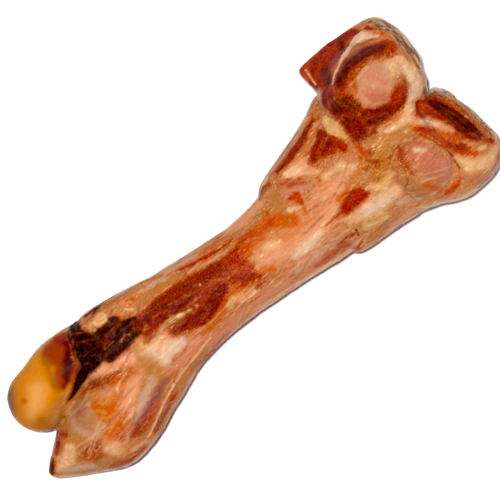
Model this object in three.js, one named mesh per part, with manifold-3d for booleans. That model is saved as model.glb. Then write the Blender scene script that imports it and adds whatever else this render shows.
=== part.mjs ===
// Cured ham bone: the thigh bone of a ham, with the lean, fat, gristle and cartilage that are left on it
// after carving. It grew as one piece, so it is one closed solid. Millimetres, +Z up. It lies on its front
// side: X runs from the hip end to the knee end, the hip ball is on the +Y side, and the two knee knuckles
// bulge upwards. The origin is on the table, under the middle of its outline.
import * as THREE from "three";
import { mergeVertices } from "three/addons/utils/BufferGeometryUtils.js";
import Module from "manifold-3d";

// Driving dimensions.
const FEMUR_LENGTH = 183; // centre of the hip ball to the line of the knuckles
const TABLE_SINK = 1.6; // how far the soft underside is pressed flat where it lies

const HIP_WIDTH = 53; // shaft where it runs into the hip end
const HIP_DEPTH = 34;
const WAIST_WIDTH = 36.3; // shaft at its narrowest
const WAIST_DEPTH = 31;
const KNEE_WIDTH = 64; // shaft where it meets the knuckles
const KNEE_DEPTH = 50;
const SHAFT_HEIGHT = 23; // centre line above the table
const KNEE_UNDERSIDE = 0.8; // lowest of the knee end, before it is pressed flat

const BALL_DIAMETER = 27.5; // hip ball
const BALL_OFFSET = 13.5; // its centre, sideways from the middle line
const BALL_HEIGHT = 20;
const NECK_LENGTH = 58; // from the tip of the ball to where the neck is lost in the shaft
const TROCHANTER_LENGTH = 70; // the big pointed knob beside the ball, with the ridge that runs from it
const TROCHANTER_REACH = 18; // how far its corner stands beyond the ball's centre
const TROCHANTER_WIDTH = 39.5;
const TROCHANTER_DEPTH = 37;

const KNUCKLE_LENGTH = 44; // each knuckle, along the bone
const INNER_KNUCKLE_WIDTH = 41; // on the +Y side
const OUTER_KNUCKLE_WIDTH = 36; // on the -Y side
const KNUCKLE_TOP = 58; // height of both knuckles
const KNUCKLE_OFFSET = 17; // of each, sideways from the middle line
const BEARING_TOP = 46; // top of the kneecap's bearing, under and between the knuckles

const MEAT_HEIGHT = 50; // lean left on the inner knuckle
const MEAT_CUT_TILT = 48; // degrees that its knife cut leans outwards
const MEAT_CUT_EDGE = 30; // where that cut starts, sideways from the middle line
const MEAT_CUT_HEIGHT = 43; // and how high
const GRISTLE_HEIGHT = 48; // gristle and fat round the outer knuckle
const HOLLOW_LENGTH = 36; // hollow in the gristle where the shin bone came away
const HOLLOW_WIDTH = 13;
const HOLLOW_DEPTH = 19;

// How squarely each kind of tissue fills its outline: 2 is an egg, and more is squarer.
const LEAN_FULLNESS = 3.2;
const GRISTLE_FULLNESS = 2.6;
const MUSCLE_FULLNESS = 2.3;

// Fineness of the round stretches.
const SHAFT_RINGS = 44;
const LIMB_RINGS = 26;
const LIMB_SIDES = 28;
const MASS_RINGS = 14;
const MASS_SIDES = 32;

const HIP_X = -FEMUR_LENGTH / 2;
const KNEE_X = FEMUR_LENGTH / 2;

const wasm = await Module();
wasm.setup();

// A closed three.js geometry as a manifold-3d solid.
function solid(geometry) {
  const bare = geometry.clone();
  bare.deleteAttribute("normal");
  bare.deleteAttribute("uv");
  const merged = mergeVertices(bare, 1e-4);
  return new wasm.Manifold(
    new wasm.Mesh({
      numProp: 3,
      vertProperties: merged.attributes.position.array,
      triVerts: new Uint32Array(merged.index.array),
    }),
  );
}

// A rounded limb: a sphere drawn out through evenly spaced stations [x, y, z, width, depth], its sections
// upright. Each end rounds off over the given share of its length.
function limb(stations, rings, endRound) {
  const centres = new THREE.CatmullRomCurve3(stations.map(([x, y, z]) => new THREE.Vector3(x, y, z)));
  const halves = new THREE.CatmullRomCurve3(
    stations.map(([x, , , width, depth]) => new THREE.Vector3(x, width / 2, depth / 2)),
  );
  const geometry = new THREE.SphereGeometry(1, LIMB_SIDES, rings);
  const { position } = geometry.attributes;
  for (let i = 0; i < position.count; i++) {
    const along = THREE.MathUtils.clamp((1 - position.getY(i)) / 2, 0, 1);
    const fromEnd = Math.min(along, 1 - along, endRound) / endRound;
    const cap = Math.sqrt(1 - (1 - fromEnd) ** 2);
    const round = Math.hypot(position.getX(i), position.getZ(i)) || 1;
    const centre = centres.getPoint(along);
    const half = halves.getPoint(along);
    position.setXYZ(
      i,
      centre.x,
      centre.y + (position.getX(i) / round) * half.y * cap,
      centre.z + (position.getZ(i) / round) * half.z * cap,
    );
  }
  return solid(geometry);
}

// A rounded mass: a smooth closed outline in plan, anticlockwise, swelling between two heights.
function mass(outline, low, high, fullness) {
  const corners = outline.map(([x, y]) => new THREE.Vector3(x, y, 0));
  const edge = new THREE.CatmullRomCurve3(corners, true);
  const middle = new THREE.Vector3();
  corners.forEach((corner) => middle.addScaledVector(corner, 1 / corners.length));
  const geometry = new THREE.SphereGeometry(1, MASS_SIDES, MASS_RINGS);
  const { position, uv } = geometry.attributes;
  for (let i = 0; i < position.count; i++) {
    const slope = Math.PI * (1 - uv.getY(i));
    const isPole = uv.getY(i) === 0 || uv.getY(i) === 1;
    const spread = isPole ? 0 : Math.sin(slope) ** (2 / fullness);
    const rise = Math.sign(Math.cos(slope)) * Math.abs(Math.cos(slope)) ** (2 / fullness);
    const point = isPole ? middle : middle.clone().lerp(edge.getPoint(uv.getX(i) % 1), spread);
    position.setXYZ(i, point.x, point.y, (low + high) / 2 + (rise * (high - low)) / 2);
  }
  return solid(geometry);
}

// An egg-shaped lump: its centre, its three sizes, and how far it is turned in plan, in degrees.
function lump(at, sizes, turn) {
  const geometry = new THREE.SphereGeometry(0.5, MASS_SIDES, MASS_RINGS);
  geometry.rotateX(Math.PI / 2);
  geometry.scale(...sizes);
  geometry.rotateZ(THREE.MathUtils.degToRad(turn));
  geometry.translate(...at);
  return solid(geometry);
}

// A large block that takes away everything beyond a plane through a point.
function beyond(point, normal) {
  const size = 4 * FEMUR_LENGTH;
  const geometry = new THREE.BoxGeometry(size, size, size);
  geometry.translate(0, 0, size / 2);
  const turn = new THREE.Quaternion().setFromUnitVectors(new THREE.Vector3(0, 0, 1), normal);
  geometry.applyQuaternion(turn);
  geometry.translate(...point);
  return solid(geometry);
}

// The waisted shaft, wider and deeper towards both ends.
function shaft() {
  const from = (share, waist, end) => THREE.MathUtils.lerp(waist, end, share);
  const towardsHip = (along, side, share) => [
    HIP_X + along * FEMUR_LENGTH,
    side,
    SHAFT_HEIGHT,
    from(share, WAIST_WIDTH, HIP_WIDTH),
    from(share, WAIST_DEPTH, HIP_DEPTH),
  ];
  const towardsKnee = (along, side, share) => [
    HIP_X + along * FEMUR_LENGTH,
    side,
    SHAFT_HEIGHT + 5 * share,
    from(share, WAIST_WIDTH, KNEE_WIDTH),
    from(share, WAIST_DEPTH, KNEE_DEPTH),
  ];
  const stations = [
    towardsHip(0.1, 1, 0.5),
    towardsHip(0.2, 0.3, 1),
    towardsHip(0.3, 1.5, 0.52),
    towardsHip(0.4, 0, 0.15),
    towardsHip(0.5, -1.9, 0),
    towardsKnee(0.6, -4.4, 0.02),
    towardsKnee(0.7, -4.7, 0.21),
    towardsKnee(0.8, -3.6, 0.5),
    towardsKnee(0.9, -3, 0.92),
    towardsKnee(1, -1, 1),
    towardsKnee(1.1, -1, 0.8),
  ];
  return limb(stations, SHAFT_RINGS, 0.06);
}

// The hip ball and the thick neck behind it.
function ballAndNeck() {
  const station = (along, side, wider) => [
    HIP_X - BALL_DIAMETER / 2 + along * NECK_LENGTH,
    BALL_OFFSET + side,
    BALL_HEIGHT + 2.3 * along,
    BALL_DIAMETER + wider,
    BALL_DIAMETER + 0.4 * wider,
  ];
  const stations = [
    station(0, 0, 0),
    station(0.25, 0, 0),
    station(0.5, 1.7, 1.6),
    station(0.75, 0.4, 0),
    station(1, -1.5, -3),
  ];
  return limb(stations, LIMB_RINGS, BALL_DIAMETER / 2 / NECK_LENGTH);
}

// The knob beside the ball, drawn out to a pointed corner, and the ridge that runs from it into the shaft.
function trochanter() {
  const station = (along, side, share) => [
    HIP_X - TROCHANTER_REACH + along * TROCHANTER_LENGTH,
    side,
    BALL_HEIGHT - 2 + 4 * along,
    share * TROCHANTER_WIDTH,
    share * TROCHANTER_DEPTH + 1,
  ];
  const stations = [
    station(0, -12.5, 0.08),
    station(0.2, -12.4, 0.6),
    station(0.4, -13, 0.97),
    station(0.6, -11.6, 1),
    station(0.8, -9.2, 0.87),
    station(1, -8, 0.66),
  ];
  return limb(stations, LIMB_RINGS, 0.03);
}

// The two knuckles, and the kneecap's bearing under them.
function knuckles() {
  const middle = 0.52 * KNUCKLE_TOP;
  const depth = 2 * (KNUCKLE_TOP - middle);
  const knuckle = (x, side, length, width, turn) => lump([x, side, middle], [length, width, depth], turn);
  const inner = knuckle(KNEE_X + 1, KNUCKLE_OFFSET, KNUCKLE_LENGTH, INNER_KNUCKLE_WIDTH, 12);
  const outer = knuckle(KNEE_X - 2, -KNUCKLE_OFFSET, 0.86 * KNUCKLE_LENGTH, OUTER_KNUCKLE_WIDTH, -8);
  const bearingHeight = BEARING_TOP - KNEE_UNDERSIDE;
  const bearing = lump(
    [KNEE_X + 1, 0, KNEE_UNDERSIDE + bearingHeight / 2],
    [0.86 * KNUCKLE_LENGTH, KNEE_WIDTH, bearingHeight],
    0,
  );
  return inner.add(outer).add(bearing);
}

// Lean left on the inner knuckle, carved off square at its end and along a leaning cut at its side.
function carvedLean() {
  const outline = [
    [KNEE_X - 14.2, 6],
    [KNEE_X + 8, -2],
    [KNEE_X + 20, 2],
    [KNEE_X + 25, 12],
    [KNEE_X + 27, 24],
    [KNEE_X + 25.5, 35.5],
    [KNEE_X + 21, 39.6],
    [KNEE_X + 4, 42.8],
    [KNEE_X - 13.5, 42.8],
    [KNEE_X - 14.5, 41.5],
    [KNEE_X - 14.2, 26],
  ];
  const tilt = THREE.MathUtils.degToRad(MEAT_CUT_TILT);
  const cutNormal = new THREE.Vector3(0, Math.sin(tilt), Math.cos(tilt));
  const cutStart = [KNEE_X, MEAT_CUT_EDGE, MEAT_CUT_HEIGHT];
  const lean = mass(outline, KNEE_UNDERSIDE, MEAT_HEIGHT, LEAN_FULLNESS);
  return lean.subtract(beyond(cutStart, cutNormal));
}

// Gristle and fat round the outer knuckle.
function gristle() {
  const outline = [
    [KNEE_X - 18, -4],
    [KNEE_X - 22, -20],
    [KNEE_X - 16, -33.5],
    [KNEE_X - 8, -37],
    [KNEE_X, -41.5],
    [KNEE_X + 10, -43],
    [KNEE_X + 20, -41.6],
    [KNEE_X + 26.5, -37.5],
    [KNEE_X + 28.8, -31],
    [KNEE_X + 27.5, -20],
    [KNEE_X + 26.5, -9],
    [KNEE_X + 22, -1],
    [KNEE_X + 12, 3],
    [KNEE_X - 4, 4],
  ];
  return mass(outline, KNEE_UNDERSIDE, GRISTLE_HEIGHT, GRISTLE_FULLNESS);
}

function hollow() {
  const at = [KNEE_X + 16.5, -16, GRISTLE_HEIGHT];
  return lump(at, [HOLLOW_WIDTH, HOLLOW_LENGTH, 2 * HOLLOW_DEPTH], 14);
}

// Ends of muscle that stand out along the shaft's edges.
function muscleEnds() {
  const lowerKnee = [
    [KNEE_X - 47, -22],
    [KNEE_X - 46.5, -28.5],
    [KNEE_X - 42, -30.3],
    [KNEE_X - 30, -32],
    [KNEE_X - 16, -34.2],
    [KNEE_X - 2, -36],
    [KNEE_X, -20],
    [KNEE_X - 20, -12],
    [KNEE_X - 40, -14],
  ];
  const upperKnee = [
    [KNEE_X - 62, 6],
    [KNEE_X - 40, 2],
    [KNEE_X - 20, 6],
    [KNEE_X - 10, 20],
    [KNEE_X - 15, 30.4],
    [KNEE_X - 26, 26.4],
    [KNEE_X - 41, 22.4],
    [KNEE_X - 52, 19.6],
    [KNEE_X - 58, 17.8],
    [KNEE_X - 62, 13.5],
  ];
  const hip = [
    [HIP_X + 30, 12],
    [HIP_X + 44, 6],
    [HIP_X + 66, 8],
    [HIP_X + 70, 18.6],
    [HIP_X + 56, 23.6],
    [HIP_X + 44, 26.4],
    [HIP_X + 34, 27.2],
    [HIP_X + 28, 24],
  ];
  const end = (outline, below, above) =>
    mass(outline, SHAFT_HEIGHT - below, SHAFT_HEIGHT + above, MUSCLE_FULLNESS);
  return end(lowerKnee, 17, 12)
    .add(end(upperKnee, 16, 19))
    .add(end(hip, 14, 16));
}

function hamBone() {
  const whole = shaft()
    .add(ballAndNeck())
    .add(trochanter())
    .add(knuckles())
    .add(carvedLean())
    .add(gristle())
    .add(muscleEnds())
    .subtract(hollow());
  const { min } = whole.boundingBox();
  return whole.subtract(beyond([0, 0, min[2] + TABLE_SINK], new THREE.Vector3(0, 0, -1)));
}

// The solid as a geometry whose outline is centred over the origin, with its underside at Z = 0.
function onTable(body) {
  const { vertProperties, triVerts, numProp } = body.getMesh();
  const geometry = new THREE.BufferGeometry();
  const corners = new THREE.InterleavedBuffer(vertProperties, numProp);
  geometry.setAttribute("position", new THREE.InterleavedBufferAttribute(corners, 3, 0));
  geometry.setIndex(new THREE.BufferAttribute(triVerts, 1));
  geometry.computeBoundingBox();
  const { min, max } = geometry.boundingBox;
  geometry.translate(-(min.x + max.x) / 2, -(min.y + max.y) / 2, -min.z);
  geometry.computeVertexNormals();
  return geometry;
}

const curedMeat = new THREE.MeshStandardMaterial({ color: "#b5633a", roughness: 0.42, metalness: 0 });

const bone = new THREE.Mesh(onTable(hamBone()), curedMeat);
bone.name = "ham_bone";

const root = new THREE.Group();
root.add(bone);

export default root;
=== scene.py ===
import itertools
import math

import bpy
import numpy as np
from bpy.props import FloatProperty, FloatVectorProperty, IntProperty, PointerProperty
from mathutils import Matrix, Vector
from mathutils.bvhtree import BVHTree


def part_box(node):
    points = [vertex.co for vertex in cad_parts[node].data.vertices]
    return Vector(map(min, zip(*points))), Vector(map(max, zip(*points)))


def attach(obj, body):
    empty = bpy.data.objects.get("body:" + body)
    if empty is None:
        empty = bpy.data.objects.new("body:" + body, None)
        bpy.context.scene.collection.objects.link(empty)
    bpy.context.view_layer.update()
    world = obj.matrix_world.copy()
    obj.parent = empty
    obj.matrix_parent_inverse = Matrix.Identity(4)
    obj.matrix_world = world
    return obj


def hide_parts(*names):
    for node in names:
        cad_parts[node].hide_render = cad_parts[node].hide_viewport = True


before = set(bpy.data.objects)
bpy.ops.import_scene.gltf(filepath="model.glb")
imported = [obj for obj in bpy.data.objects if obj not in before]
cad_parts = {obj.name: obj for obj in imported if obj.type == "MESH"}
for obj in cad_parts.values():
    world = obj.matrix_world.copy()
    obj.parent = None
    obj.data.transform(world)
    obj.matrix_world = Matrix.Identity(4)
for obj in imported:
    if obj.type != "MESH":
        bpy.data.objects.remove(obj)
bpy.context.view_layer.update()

bl_info = {
    "name": "Cured ham bone",
    "version": (1, 0, 0),
    "blender": (4, 5, 0),
    "location": "3D View > Sidebar > Ham bone",
    "description": "Makes the skin, sinews and membranes of a cured ham bone around its packed frame",
    "category": "Object",
}

NODE = "ham_bone"
SKIN = "cured_ham_bone"
MM = 0.001
LOW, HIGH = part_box(NODE)
LENGTH = HIGH.x - LOW.x
PLAN_LENGTH = 229.7  # the length, in millimetres, that the touches below are placed on
UNIT = LENGTH / PLAN_LENGTH  # metres to one of their millimetres


def linear(hex_colour):
    """An sRGB hex colour as linear red, green and blue."""
    values = [int(hex_colour[i : i + 2], 16) / 255 for i in (1, 3, 5)]
    return tuple(v / 12.92 if v <= 0.04045 else ((v + 0.055) / 1.055) ** 2.4 for v in values)


def opaque(hex_colour):
    """An sRGB hex colour as a node socket holds it: linear, with full alpha."""
    return (*linear(hex_colour), 1)


# Tissues, and the painted glow, highlights and glints laid like them: what each tint is called, its colour, and
# the kinds of tissue that it belongs to.
TINTS = {
    "fascia": ("#c68c66", "fascia"),
    "tan": ("#bf8a5a", "fascia sleek"),
    "peach": ("#dca685", "fascia sleek"),
    "apricot": ("#d08e5e", "fascia sleek"),
    "orange": ("#c86e28", "fascia sleek"),
    "orange_light": ("#d87a30", "fascia sleek"),
    "orange_deep": ("#c25614", "fascia sleek"),
    "ochre": ("#b98448", "fascia"),
    "ochre_dark": ("#a2642a", "fascia"),
    "pink": ("#cf947a", "fascia sleek"),
    "mauve": ("#9e6260", "fascia sleek"),
    "mauve_pale": ("#c8a894", "fascia sleek"),
    "rose": ("#b6644e", "fascia sleek"),
    "plum": ("#a44e34", "fascia"),
    "rust": ("#a4501c", "fascia"),
    "glow": ("#be5e1c", "fascia"),
    "spot_red": ("#a4340c", "lean sleek"),
    "lean_black": ("#400c07", "lean"),
    "lean_dark": ("#701809", "lean"),
    "lean_maroon": ("#8a240a", "lean"),
    "lean_brown": ("#983e18", "lean"),
    "lean_red": ("#b0440f", "lean"),
    "lean_cut": ("#a63c14", "lean"),
    "crust": ("#260906", "crust"),
    "crust_glint": ("#6e4c50", "crust"),
    "fat_white": ("#ddc0a8", "fat sleek"),
    "fat_cream": ("#dcb48c", "fat sleek"),
    "fat_yellow": ("#d2aa74", "fat sleek"),
    "tendon": ("#ac8050", "fat"),
    "amber": ("#cf8f3a", "smooth"),
    "amber_light": ("#d8953a", "smooth"),
    "amber_pale": ("#e0b074", "smooth"),
    "amber_deep": ("#b8761e", "smooth"),
    "amber_grey": ("#8c6c60", "smooth"),
    "neck_brown": ("#a85409", "smooth"),
    "neck_olive": ("#b27a14", "smooth"),
    "neck_red": ("#983404", "smooth"),
    "neck_dark": ("#591402", "smooth"),
    "cartilage": ("#cf9e84", "fascia sleek"),
    "cartilage_pink": ("#c4826a", "fascia sleek"),
    "cap_grey": ("#bb8e6a", "fascia sleek"),
}
KINDS = ("lean", "fat", "crust", "smooth", "sleek")


# Touches: (tint, edge, lift, point, ...). The points (x, y, radius) are a path over the bone as seen from above,
# along which the tissue lies; edge is how softly it ends, and lift how far it stands proud. All are millimetres.

HIP_TOUCHES = [
    # The ball, greyer at its tip.
    ("amber", 1.6, 0, (-98, 13, 15), (-88, 14, 15)),
    # Painted highlights: the ball's lit top, its middle, and a pale streak across it.
    ("amber_light", 4, 0, (-93, 22, 6), (-88, 25, 4)),
    ("amber_light", 5, 0, (-97, 10, 3), (-92, 15, 4.6)),
    ("amber_pale", 4.4, 0, (-95, 17, 2.8), (-99, 13.4, 2.4), (-103, 10, 2)),
    # Painted shade along the ball's lower edge, away from the light, in deeper amber.
    ("amber_deep", 4, 0, (-102, 5, 3.5), (-96, 3, 3.5), (-91, 6, 3)),
    # The greyer tip, and a dark spot on the ball.
    ("amber_grey", 3.2, 0, (-108, 19, 2.6), (-104.5, 23.5, 2.2)),
    ("amber_deep", 1.2, -0.1, (-102, 17.3, 1.1)),
    # The knob: greyish cap, orange grains, and bands of fat and fascia around them.
    ("tan", 3, 0, (-104, -12, 8), (-90, -12, 20), (-70, -10, 20)),
    ("apricot", 4, 0, (-84, -8, 8), (-72, -8, 8)),
    ("peach", 3, 0, (-86, -20, 3), (-79, -21, 3)),
    ("apricot", 4, 0, (-76, -8, 2.8), (-70, -8.6, 2.2)),
    ("orange", 3, 0, (-74, -8, 0.8), (-70, -8.6, 0.8)),
    ("cap_grey", 3.4, 0, (-89, -3, 5.4), (-88, -9, 4.6)),
    ("mauve_pale", 1.8, 0.1, (-93.4, -6, 0.4), (-91, -12, 1.2), (-87, -13.5, 1), (-84, -12, 0.4)),
    ("mauve", 3, 0, (-88, -1, 1.4), (-84, 0.6, 0.8)),
    ("mauve_pale", 2.4, 0, (-91.6, 1, 0.3), (-93.6, -5, 0.6)),
    ("mauve_pale", 1, 0, (-84, -5, 0.3), (-83, -1.4, 0.3)),
    ("ochre", 1.2, -0.4, (-98, 0.6, 1), (-93, 3.4, 1), (-88, 4.6, 0.8), (-80, 5, 0.6)),
    ("orange", 1.2, 0.3, (-81, -4, 2.2), (-80.5, -8.5, 2.8), (-76.5, -9, 1.8)),
    ("amber", 0.7, 0.3, (-82, -6, 0.7), (-80.4, -8, 0.9)),
    ("amber", 0.7, 0.3, (-79.4, -4, 0.6), (-77.4, -5.4, 0.5)),
    ("amber", 0.7, 0.3, (-82.4, -9.6, 0.5), (-79.6, -11.4, 0.7)),
    ("pink", 1.6, 0.2, (-76, -2.5, 1.2), (-73.5, -3, 1.2)),
    ("orange", 2, 0, (-69, -2, 1.2), (-62, -6, 1.2)),
    ("peach", 1.8, 0, (-72, -12.6, 2.2), (-66, -9, 2.8), (-60, -6, 2.4)),
    ("fat_cream", 0.7, 0.1, (-71, -7, 0.1), (-70, -4.6, 0.2), (-67.5, -3.2, 0.2), (-65, -3.2, 0.1)),
    ("rust", 1.2, 0.5, (-84, 3.2, 0.9), (-75, 2.9, 1.8), (-68, 0.6, 1.6), (-62, -3, 1.2)),
    ("neck_red", 0.8, 0, (-79, 2.4, 0.4), (-74, 1.8, 0.5)),
    ("peach", 1.4, 0.4, (-78, 6.6, 0.8), (-71, 5.6, 1.6), (-64, 3.6, 2.6), (-58, 1, 3)),
    ("orange", 1.6, 0.2, (-68, -1, 0.8), (-60, -4.4, 1)),
    ("fat_cream", 1.4, 0.1, (-111, -12.8, 1.2), (-105, -12.6, 3.2), (-101, -10.5, 2.2)),
    ("fat_yellow", 1.2, 0, (-109.5, -9.6, 0.9), (-107, -9.4, 1.2)),
    ("mauve_pale", 1.6, 0, (-109, -15.4, 1.2), (-103, -18.6, 1.6), (-99, -21.6, 1.2)),
    ("lean_dark", 0.8, 0.1, (-113.8, -12.2, 1.3), (-111.4, -10.6, 0.7), (-109.4, -8.2, 0.5)),
    ("rust", 1.4, 0, (-101, -2.4, 1.3), (-99, -4.6, 1.6)),
    ("spot_red", 0.8, -0.3, (-106.2, -7.7, 0.9), (-103.6, -5.2, 1.4), (-102.2, -3.4, 0.9)),
    ("lean_dark", 0.8, 0, (-105, -6.6, 0.7), (-103.4, -4.8, 0.7)),
    ("rust", 2.2, 0, (-98, -15, 2.2), (-92, -17, 2.4), (-96, -20, 1.2)),
    ("rust", 1, 0.2, (-99, -17.4, 0.5), (-92, -21, 0.6)),
    ("fat_cream", 2.2, 0.3, (-89.4, -19.6, 1.8), (-87, -23, 2.2)),
    ("orange", 3, 0, (-85, -16, 2), (-79, -15.6, 2)),
    ("rust", 2.4, 0, (-82, -21, 1.6), (-77, -22.6, 2), (-73, -23.6, 1.2)),
    ("mauve", 2, 0, (-76, -21.6, 1.2), (-68, -19.6, 2.2), (-60, -17.2, 2.2), (-53, -15.4, 1)),
    ("rose", 2, 0, (-70, -22.6, 1.4), (-62, -20, 1)),
    ("plum", 2, 0, (-76, -23, 1.6), (-68, -22, 1)),
    ("mauve_pale", 1.8, 0.1, (-73, -18, 1), (-65, -14.6, 1.9), (-57, -11.6, 1.8)),
    # A raised seam, its pale tone partly a painted highlight along its top.
    ("peach", 0.5, 0.5, (-74, -27.4, 0.5), (-68, -25, 0.6), (-60, -21.4, 0.5), (-52, -18.6, 0.5)),
    ("rust", 1, -0.2, (-70, -28, 1), (-61, -24.6, 1.3), (-54, -22, 0.9)),
    ("rust", 1.6, 0, (-93, -27, 1.4), (-86, -30, 1.6), (-78, -30, 1.2)),
    ("peach", 1, 0.2, (-82, -27.5, 0.8), (-76, -28.6, 0.8)),
    # The neck, brown and clear as glue, with darker meat in it.
    ("neck_brown", 1.4, 0, (-79.6, 23.4, 5.6), (-75, 24, 5.4)),
    ("neck_brown", 1.4, 0, (-85.6, 13, 3.6), (-80, 15, 4.6)),
    ("neck_olive", 2, 0, (-84.6, 24, 1.2), (-87, 17, 1.2), (-89, 11, 1)),
    ("neck_red", 1.8, 0, (-75.6, 26.4, 1), (-73.6, 23.4, 1.6), (-71, 21, 1.4)),
    ("neck_dark", 1.8, 0, (-82, 13.4, 1.4), (-78, 16.4, 2.2), (-73, 20.4, 1.9), (-71, 25, 1.2)),
    ("neck_dark", 1.6, 0, (-86, 10.6, 0.2), (-82.6, 11.6, 0.6)),
    ("rust", 1, 0.1, (-76, 16.4, 0.2), (-73, 20.4, 0.3), (-71.4, 25.6, 0.4)),
]

CRUST_TOUCHES = [
    ("lean_black", 0.8, 0.2, (-62, 13.6, 5.4), (-54.4, 14.6, 5)),
    ("lean_black", 0.8, 0.1, (-63, 7.6, 3), (-57, 9, 4.4), (-49, 10, 4.6)),
    ("lean_dark", 2, 0, (-47, 9, 1), (-42, 8.6, 2)),
    ("crust", 0.8, 1.0, (-66.4, 25, 2.9), (-67.4, 18.4, 4.8), (-69.6, 12, 5.4)),
    ("crust", 0.6, 0.7, (-70, 11, 3), (-77, 9.4, 2.3), (-84, 6.6, 1.2), (-88, 5.4, 0.5)),
    ("crust_glint", 0.3, 0.2, (-66.6, 22.6, 0.4), (-64.4, 21.4, 0.3)),
    ("crust_glint", 0.3, 0.2, (-67.4, 18, 0.35), (-66.2, 15.6, 0.3)),
    ("crust_glint", 0.3, 0.2, (-78, 11.6, 0.6), (-75.6, 12, 0.4)),
    ("crust_glint", 0.3, 0.2, (-72.6, 11.4, 0.4), (-71, 10.6, 0.5)),
    ("crust_glint", 0.4, 0.2, (-60, 14.4, 0.3), (-54, 14.6, 0.25)),
    ("mauve", 0.4, 0.2, (-56, 8.6, 0.5), (-53, 9.6, 0.4), (-51.6, 8.4, 0.4)),
    ("mauve", 0.4, 0.2, (-63, 10.4, 0.25), (-58, 10.8, 0.25)),
    ("neck_brown", 0.8, 0.2, (-56, 25.8, 1), (-47, 24.4, 0.8), (-38, 22.8, 0.5)),
    ("lean_dark", 0.6, 0.1, (-57, 24.6, 0.6), (-50, 25, 0.5)),
    ("fat_yellow", 0.8, 0.5, (-60.6, 20.8, 1.9), (-55.6, 21, 2.3)),
    ("ochre", 0.8, 0.2, (-60.4, 20.4, 0.9)),
    ("rust", 0.6, 0.2, (-61, 24, 0.8), (-57.6, 23.6, 0.7)),
    ("crust", 0.6, 0.4, (-60, 25.8, 0.8), (-57, 25.8, 0.8), (-53.6, 25, 0.9)),
]

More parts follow.
